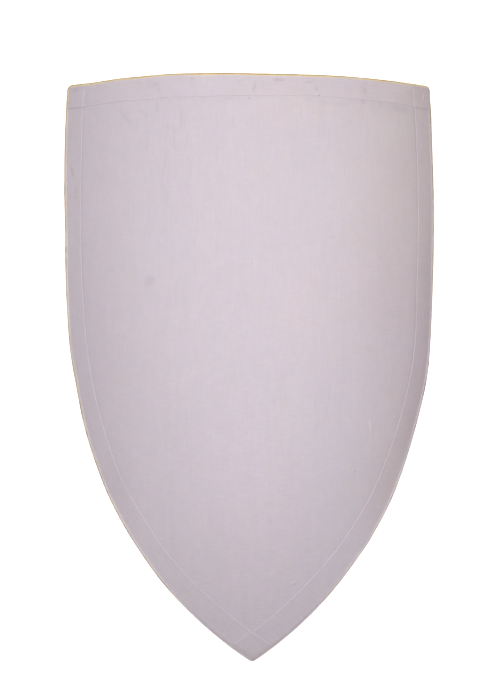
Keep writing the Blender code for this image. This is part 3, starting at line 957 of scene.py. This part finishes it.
def strip_finish(settings, pattern):
    """Primer over the strips, ending in a ragged line beside the rim, and bare cloth from there round."""
    finish = Finish("primed_strip")
    flat, lay = finish.attribute("flat"), finish.attribute("lay")
    _, t, _ = finish.parts(flat)
    along, across, bare = finish.parts(lay)
    smudge_and_shade = rgba(settings.smudge_and_shade)
    weave = height, warp, weft = threads(finish, across, along, settings.strip_thread)
    base, roughness, relief = painted(finish, settings, pattern, flat, across, along, weave)

    moved = smeared(finish, flat, 47.0, 5 * MM)
    patchy = finish.noise(flat, (3, 5), 3.0, 0.7, 53.0) * 1.5 + 0.85
    base = finish.mix(marked(finish, moved, STRIP_STAINS) * patchy, base, rgba(settings.stain))
    base = finish.shade(base, marked(finish, flat, CHIPS))
    # Painted shade along the step where the top strip crosses the side strips.
    step_shade = t.step(0.1405, 0.1450) * t.step(0.1462, 0.1452)
    base = finish.mix(step_shade * 0.28, base, smudge_and_shade)
    # Painted highlight along the cut edge, where its bead of primer catches the light, and low down a slight
    # darkening just behind it.
    cut_edge = across.step(1.7 * MM, 0.2 * MM) * (t.step(-0.12, -0.30) * 0.060 + 0.050)
    base = finish.shade(base, cut_edge - across.step(4.2 * MM, 2.2 * MM) * t.step(-0.15, -0.30) * 0.012)

    edge = bare + finish.noise(lay, (2.2, 2.2), 3.0, 0.65, 59.0) * (1.5 * MM)
    base = finish.shade(base, edge.step(-2.6 * MM, -1.0 * MM) * 0.05)
    cloth = bare_cloth(finish, settings, flat, lay, edge)
    cloth = finish.shade(cloth, warp * 0.22 + weft * 0.18 + (height - 0.7) * 0.22)
    cover = edge.step(-0.5 * MM, 0.5 * MM)
    base = finish.mix(cover, base, cloth)
    _, _, z = finish.parts(finish.object_place())
    scuffed = z.step(2.2 * MM, 0.2 * MM) * (patchy * 0.5 + 0.3)
    base = finish.mix(scuffed.math("MAXIMUM", 0.0), base, smudge_and_shade)
    roughness = roughness + cover * (0.95 - roughness)
    cloth_relief = height * (0.22 * MM) + (warp + weft) * (0.10 * MM)
    relief = relief + cover * (cloth_relief - relief - 0.12 * MM)
    return finish.finished(base, roughness, 0.3, relief)


def plywood_finish(settings):
    """Bare face veneer, rubbed with oil: slow bands of late growth up the shield, and short pores."""
    finish = Finish("plywood")
    flat = finish.attribute("flat")
    s, _, _ = finish.parts(flat)
    dark = rgba(settings.wood_dark)
    bend = finish.noise(flat, (50, 420), 2.0, 0.5, 2.0) * 0.075
    ripple = finish.noise(flat, (12, 160), 2.0, 0.5, 4.0) * 0.006
    late = (((s + bend + ripple) * (2 * math.pi / 0.017)).math("SINE") * 0.5 + 0.5) ** 3.0
    wide = finish.noise(flat, (45, 500), 2.0, 0.5, 6.0)
    pores = finish.noise(flat, (0.55, 14), 2.0, 0.6, 8.0).step(0.06, 0.24)
    fibre = finish.noise(flat, (0.9, 45), 3.0, 0.6, 9.0)
    base = finish.mix(pores * 0.30, finish.mix(late * 0.42, rgba(settings.wood), dark), dark)
    base = finish.shade(base, wide * 0.22 + fibre * 0.16)
    roughness = 0.60 + fibre * 0.10 + pores * 0.12 - late * 0.05
    relief = fibre * (0.10 * MM) - pores * (0.12 * MM) - late * (0.05 * MM)
    return finish.finished(base, roughness, 0.4, relief)


def floor_finish(studio):
    """Pale matt floor with a faint mottle, lit a little from within."""
    finish = Finish("studio_floor")
    mottle = finish.noise(finish.object_place(), (400, 400))
    base = finish.shade(rgba(studio.floor), mottle * 0.01)
    return finish.finished(base, mottle * 0.05 + 0.85, 0.2, glow=studio.glow)


# ---- Pieces ----

BOARD_INSET = 5.5 * MM  # of the board's edge from the outline
CANVAS_INSET = 6.5 * MM  # and of the canvas's
BOARD_GRID, CANVAS_GRID = (190, 130), (262, 182)  # rows and columns
BOARD_GAP = 0.2 * MM  # between the board and the canvas
GLUE = 0.05 * MM  # depth of a strip's inner surface in what it is glued to
LAP = 0.06 * MM  # gap between a strip's thickness and a strip that lies over it


def make_board(pattern, settings):
    """The board: two rolled faces half the board's thickness to each side of its middle, slightly uneven."""
    half = pattern.size.board / 2
    rows = np.linspace(*plate_ends(pattern, BOARD_INSET), BOARD_GRID[0])
    flat = plate_grid(pattern, BOARD_INSET, rows, np.linspace(1, -1, BOARD_GRID[1]))
    uneven = 0.10 * MM * rough(flat[..., 0] / 0.05 + 3, flat[..., 1] / 0.12, 1)
    grids = (with_level(flat, -half + uneven), with_level(flat, half))
    return shell("plywood_board", "board", "plywood", pattern, grids, plywood_finish(settings))


def make_canvas(pattern, settings):
    """The canvas: its height is the paint's level, slow waves where it was glued down, and one run of primer.

    The run is a slanted ridge of 0.45 mm with a Gaussian section, faded at both ends. Above the tip is a
    Gaussian lump of 0.35 mm. The steps kept for the finish are the distances in from the edges of the strips.
    """
    size = pattern.size
    ridge_s, ridge_t = 0.1808, -0.3420
    lump_s, lump_t = 0.060, -0.5645
    share = ridge_s / pattern.half_width(ridge_t, CANVAS_INSET)
    rows = crowded(*plate_ends(pattern, CANVAS_INSET), CANVAS_GRID[0], ridge_t, 0.012, 2.5)
    columns = crowded(-1, 1, CANVAS_GRID[1], share, 0.02, 4.0)
    flat = plate_grid(pattern, CANVAS_INSET, rows, columns)
    s, t = flat[..., 0], flat[..., 1]
    waves = 0.16 * rough(s / 0.070 + 9, t / 0.11, 2) + 0.07 * rough(s / 0.016, t / 0.060, 3)
    brushed = 0.05 * rough(s / 0.007, t / 0.050, 4)
    away = s - ridge_s - 0.14 * (ridge_t - t)
    ridge = 0.45 * bell(away, 0.0, 0.9 * MM) * smooth(13 * MM, 8 * MM, np.abs(t - ridge_t))
    lump = 0.35 * bell(np.hypot(s - lump_s, (t - lump_t) * 2.0), 0.0, 4 * MM)
    level = pattern.front + MM * (waves + brushed + ridge + lump)
    from_side = pattern.inset_side(flat) - size.front_leg - leg_wander(flat)
    from_top = size.top_rise - t - size.front_leg - wander(LEG_WANDER["top"], s)
    step = stacked(from_side, from_top, 0.0)
    grids = (with_level(flat, level), with_level(flat, size.board / 2 + BOARD_GAP))
    finish = canvas_finish(settings, pattern)
    return shell("primed_canvas", "canvas_facing", "primed_canvas", pattern, grids, finish, step=(step, step))


def canvas_cut(pattern):
    """Width and length of the canvas as cut, and its area, from the widths of 2001 even rows."""
    low, high = plate_ends(pattern, CANVAS_INSET)
    half = pattern.half_width(np.linspace(low, high, 2001), CANVAS_INSET)
    return (2 * float(half.max()), high - low), 2 * float(half.mean()) * (high - low)


Section = namedtuple("Section", "front back out level across")


def strip_section(size, face, inner):
    """One section of a strip as arrays over its points, from the front leg's inner end to the back leg's.

    A point lies at start + front * (end of the front leg - start) + back * (end of the back leg - start)
    - out * inward, at its level. Inner is 0 for the outer surface and 1 for the inner one, and face is the
    level of the canvas. The cut edge of the front leg is rounded over, with a low bead of primer behind it.
    """
    fold = size.fold_radius
    front_level, back_level = size.fold_level + fold, size.fold_level - fold
    span, back_span = size.front_leg - fold, size.back_leg - fold
    cut_edge = MM * np.array([0.0, 0.12, 0.35, 0.7, 1.1, 1.6, 2.3, 3.2])
    depth = np.concatenate(
        [cut_edge, np.linspace(4.4 * MM, span - 3 * MM, 22), span - MM * np.array([2.2, 1.5, 0.8])]
    )
    fall = np.zeros(len(depth))
    fall[:3] = 0.42 * MM, 0.18 * MM, 0.05 * MM
    bead = 0.10 * MM * bell(depth, 1.0 * MM, 0.6 * MM)
    top = face + size.strip
    outer_front = top + (front_level - top) * smooth(span - 4 * MM, span, depth) + bead - fall
    back_depth = np.concatenate(
        [np.linspace(0.9 * MM, back_span - 1.2 * MM, 15), back_span - MM * np.array([0.7, 0.3, 0.1, 0.0])]
    )
    outer_back = np.full(len(back_depth), back_level)
    outer_back[-3:] += MM * np.array([0.05, 0.18, 0.42])
    turn = np.linspace(QUARTER, -QUARTER, 19)
    radius = fold - inner * (front_level - face)

    front = (1 - depth / span, 0, 0, face - GLUE if inner else outer_front, depth)
    rim_level = size.fold_level + radius * np.sin(turn)
    round_rim = (0, 0, radius * np.cos(turn), rim_level, span + fold * (QUARTER - turn))
    under = -size.board / 2 - GLUE if inner else outer_back
    back = (0, back_depth / back_span, 0, under, span + fold * math.pi + back_depth)
    parts = [np.stack(np.broadcast_arrays(*part)) for part in (front, round_rim, back)]
    return Section(*np.concatenate(parts, axis=1))


def swept(run, section, fold_radius):
    """The section carried along the run: flat points (s, t) for each section and each of its points."""
    inward = run.inward[:, None]
    start = (run.foot + fold_radius * run.inward)[:, None]
    front, back, out = (part[None, :, None] for part in (section.front, section.back, section.out))
    return start + front * (run.front[:, None] - start) + back * (run.back[:, None] - start) - out * inward


def strip_levels(size, section, flat, along, lap_inset, seed, outer):
    """Levels of a swept section: its own, the climb over a neighbour below, and what the hand left.

    lap_inset(points) is the distance from the rim of a neighbour that this strip lies over. The climb is
    one strip's thickness, from 2.2 mm before the neighbour's edge to 0.4 mm after it, and it ends short of
    the strip's own fold.
    """
    leg = size.front_leg
    span = leg - size.fold_radius
    depth = section.across[None, :]
    on_front = (section.front > 0)[None, :]
    level = np.broadcast_to(section.level, flat.shape[:2]).copy()
    if lap_inset is not None:
        climb = smooth(leg + 2.2 * MM, leg - 0.4 * MM, lap_inset(flat)) * (size.strip + LAP)
        level += np.where(on_front, climb * smooth(span, span - 3.0 * MM, depth), 0.0)
    if not outer:
        return level
    waves = 0.07 * rough(along / 0.045, depth / 0.016, seed)
    waves = waves + 0.035 * rough(along / 0.012, depth / 0.005, seed + 1)
    level += np.where(on_front, MM * waves * smooth(0.0, 2 * MM, depth), 0.0)
    # Small pleats on the back, where the leg is gathered round the outward curve.
    pleat = np.clip(rough(along / 0.011, 0.0, seed + 2) - 0.15, 0.0, 1.0) * 0.9
    level -= MM * pleat * section.back[None, :] ** 1.5
    return level


def paint_edge(size, run, along, seed):
    """Distance from the outermost line of the fold, back over the front, at which the paint ends.

    As seen from in front, the paint stops at a ragged line about SEEN_CLOTH inside the outline, and nearer
    to it at one place down the right side and at the tip. A rim that leans by an angle hides that much of
    its fold, so the line is at asin(1 - seen / fold radius) - lean round the fold, or past the fold's start
    on the flat where that is negative. It is averaged over seven sections.
    """
    s, t = run.foot.T
    fold = size.fold_radius
    ragged = 0.45 * rough(along / 0.030, 0.0, seed) + 0.25 * rough(along / 0.009, 0.0, seed + 1)
    covered = 1.3 * bell(t, -0.15, 0.05) * (s > 0)
    tip = 1.7 * smooth(-0.56, -0.64, t) + 0.5 * smooth(-0.40, -0.50, t) * (s > 0)
    seen = SEEN_CLOTH + MM * (ragged - covered - tip)
    lean = SEEN_FROM + np.abs(s) / size.roll_radius * np.abs(run.inward[:, 0])
    on_fold = QUARTER - (np.arcsin(1 - seen / fold) - lean)
    on_flat = QUARTER + (seen / fold - 1 + np.sin(lean)) / np.cos(lean)
    edge = fold * np.where(on_fold < QUARTER, on_fold, on_flat)
    return np.convolve(np.pad(edge, 3, mode="edge"), np.full(7, 1 / 7), mode="valid")


def make_strip(name, node, pattern, run, lap_inset, seed, finish):
    """One edge strip: its section carried along the rim.

    The lay kept for the finish is a point's place along and across the strip, and how far it is past the
    paint's edge.
    """
    size = pattern.size
    along = travelled(run.foot)[:, None]
    outermost = size.front_leg - size.fold_radius + size.fold_radius * QUARTER
    paint_end = outermost - paint_edge(size, run, along[:, 0], seed + 5)[:, None]
    grids, lays = [], []
    for inner in (0, 1):
        section = strip_section(size, pattern.front, inner)
        flat = swept(run, section, size.fold_radius)
        level = strip_levels(size, section, flat, along, lap_inset, seed, not inner)
        wobble = np.where(section.front > 0.97, 0.25 * MM, 0.0) * rough(along / 0.05, 0.0, seed + 3)
        grids.append(with_level(flat + wobble[..., None] * run.inward[:, None], level))
        lays.append(stacked(along, section.across, section.across - paint_end))
    return shell(name, node, "primed_strip", pattern, grids, finish, lay=lays)


def cut_size(size, run):
    """Width and length of a strip as cut: its developed section, and the rim's length plus the laps."""
    width = size.front_leg + size.back_leg + (math.pi - 2) * size.fold_radius
    return width, float(travelled(run.foot)[-1])


# ---- Stage ----

FLOOR_REACH = 6.0
LIGHT_PLACE, LIGHT_TARGET = (-0.022, 0.19, 0.9), (-0.022, 0.19, 0.0)
LIGHT_WIDTH, LIGHT_LENGTH = 0.9, 1.2


def make_floor(studio):
    """A level square at z = 0, as far as FLOOR_REACH to each side."""
    corners = [(x * FLOOR_REACH, y * FLOOR_REACH, 0.0) for x, y in ((-1, -1), (1, -1), (1, 1), (-1, 1))]
    mesh = bpy.data.meshes.new("floor")
    mesh.from_pydata(corners, [], [(0, 1, 2, 3)])
    mesh.materials.append(floor_finish(studio))
    floor = add_object("floor", mesh)


def make_camera(pattern, studio):
    """A camera over the shield's front, along the shield's own outward direction.

    From looking straight down on the front it is turned by a small angle about each of the shield's axes.
    """
    data = bpy.data.cameras.new("camera")
    data.sensor_width, data.lens = studio.sensor, studio.lens
    camera = add_object("camera", data)
    axes = Euler((pattern.size.pitch, 0.0, 0.0)).to_matrix()
    below = Vector(pattern.placed(np.array([0.0, studio.along, pattern.front])))
    camera.location = below + axes @ Vector((studio.across, 0.0, studio.distance))
    tilt, pan, lean = (Matrix.Rotation(angle, 3, axis) for angle, axis in zip(studio.turn, "XYZ"))
    camera.rotation_euler = (axes @ tilt @ pan @ lean).to_euler()
    bpy.context.scene.camera = camera


def make_light(power):
    """A soft box over the shield that the camera doesn't see."""
    data = bpy.data.lights.new("soft_box", "AREA")
    data.shape, data.size, data.size_y, data.energy = "RECTANGLE", LIGHT_WIDTH, LIGHT_LENGTH, power
    light = add_object("soft_box", data)
    light.location = LIGHT_PLACE
    light.rotation_euler = (Vector(LIGHT_TARGET) - Vector(LIGHT_PLACE)).to_track_quat("-Z", "Y").to_euler()
    light.visible_camera = False


def make_sky(strength):
    world = bpy.data.worlds.new("studio")
    world.use_nodes = True
    background = world.node_tree.nodes["Background"]
    background.inputs["Color"].default_value = (1.0, 1.0, 1.0, 1.0)
    background.inputs["Strength"].default_value = strength
    bpy.context.scene.world = world


# ---- Operators, panel and registration ----


def chosen(context):
    """The pattern and the finish that are set in the scene."""
    return Pattern(context.scene.shield_pattern), context.scene.shield_finish


class MakeStage(bpy.types.Operator):
    """Add the camera, the lights and the floor"""

    bl_idname = "heater_shield.make_stage"
    bl_label = "Stage"

    def execute(self, context):
        pattern, _ = chosen(context)
        studio = context.scene.shield_studio
        make_camera(pattern, studio)
        make_floor(studio)
        make_sky(studio.sky)
        make_light(studio.key)
        context.scene.view_settings.view_transform = "Standard"
        return {"FINISHED"}


class MakeBoard(bpy.types.Operator):
    """Add the plywood board"""

    bl_idname = "heater_shield.make_board"
    bl_label = "Board"

    def execute(self, context):
        make_board(*chosen(context))
        return {"FINISHED"}


class MakeCanvas(bpy.types.Operator):
    """Add the painted canvas on the front"""

    bl_idname = "heater_shield.make_canvas"
    bl_label = "Canvas"

    def execute(self, context):
        pattern, settings = chosen(context)
        canvas = make_canvas(pattern, settings)
        flat, area = canvas_cut(pattern)
        return {"FINISHED"}


class MakeStrips(bpy.types.Operator):
    """Add the three edge strips"""

    bl_idname = "heater_shield.make_strips"
    bl_label = "Edge strips"

    def execute(self, context):
        pattern, settings = chosen(context)
        finish = strip_finish(settings, pattern)
        left = hand_cut(mirrored_run(reversed_run(right_run(pattern, True))), "left")
        right = hand_cut(right_run(pattern, False), "right")
        top = hand_cut(reversed_run(top_run(pattern)), "top")

        def left_lap(points):
            return pattern.inset_belly(points) - wander(LEG_WANDER["right"], points[..., 1])

        def top_lap(points):
            return pattern.inset_side(points) - leg_wander(points)

        strips = (
            ("left_strip", "left_binding", left, left_lap, 11),
            ("right_strip", "right_binding", right, None, 23),
            ("top_strip", "top_binding", top, top_lap, 37),
        )
        for name, node, run, lap, seed in strips:
            strip = make_strip(name, node, pattern, run, lap, seed, finish)
            cut_size(pattern.size, run)
        return {"FINISHED"}


class ShieldPanel(bpy.types.Panel):
    """The shield's settings and the pieces that can be added"""

    bl_idname = "VIEW3D_PT_heater_shield"
    bl_label = "Heater shield"
    bl_space_type = "VIEW_3D"
    bl_region_type = "UI"
    bl_category = "Shield"

    def draw(self, context):
        for operator in OPERATORS:
            self.layout.operator(operator.bl_idname)
        for name in SETTINGS:
            group = getattr(context.scene, name)
            box = self.layout.box()
            for key in group.__annotations__:
                box.prop(group, key)


OPERATORS = (MakeStage, MakeBoard, MakeCanvas, MakeStrips)
SETTINGS = {"shield_pattern": ShieldPattern, "shield_finish": ShieldFinish, "shield_studio": StudioSetup}
CLASSES = (*SETTINGS.values(), *OPERATORS, ShieldPanel)


def register():
    for item in CLASSES:
        bpy.utils.register_class(item)
    for name, group in SETTINGS.items():
        setattr(bpy.types.Scene, name, PointerProperty(type=group))


def unregister():
    for name in SETTINGS:
        delattr(bpy.types.Scene, name)
    for item in reversed(CLASSES):
        bpy.utils.unregister_class(item)


def main():
    register()
    bpy.ops.heater_shield.make_stage()
    bpy.ops.heater_shield.make_board()
    bpy.ops.heater_shield.make_canvas()
    bpy.ops.heater_shield.make_strips()
    bpy.context.view_layer.update()


if __name__ == "__main__":
    main()
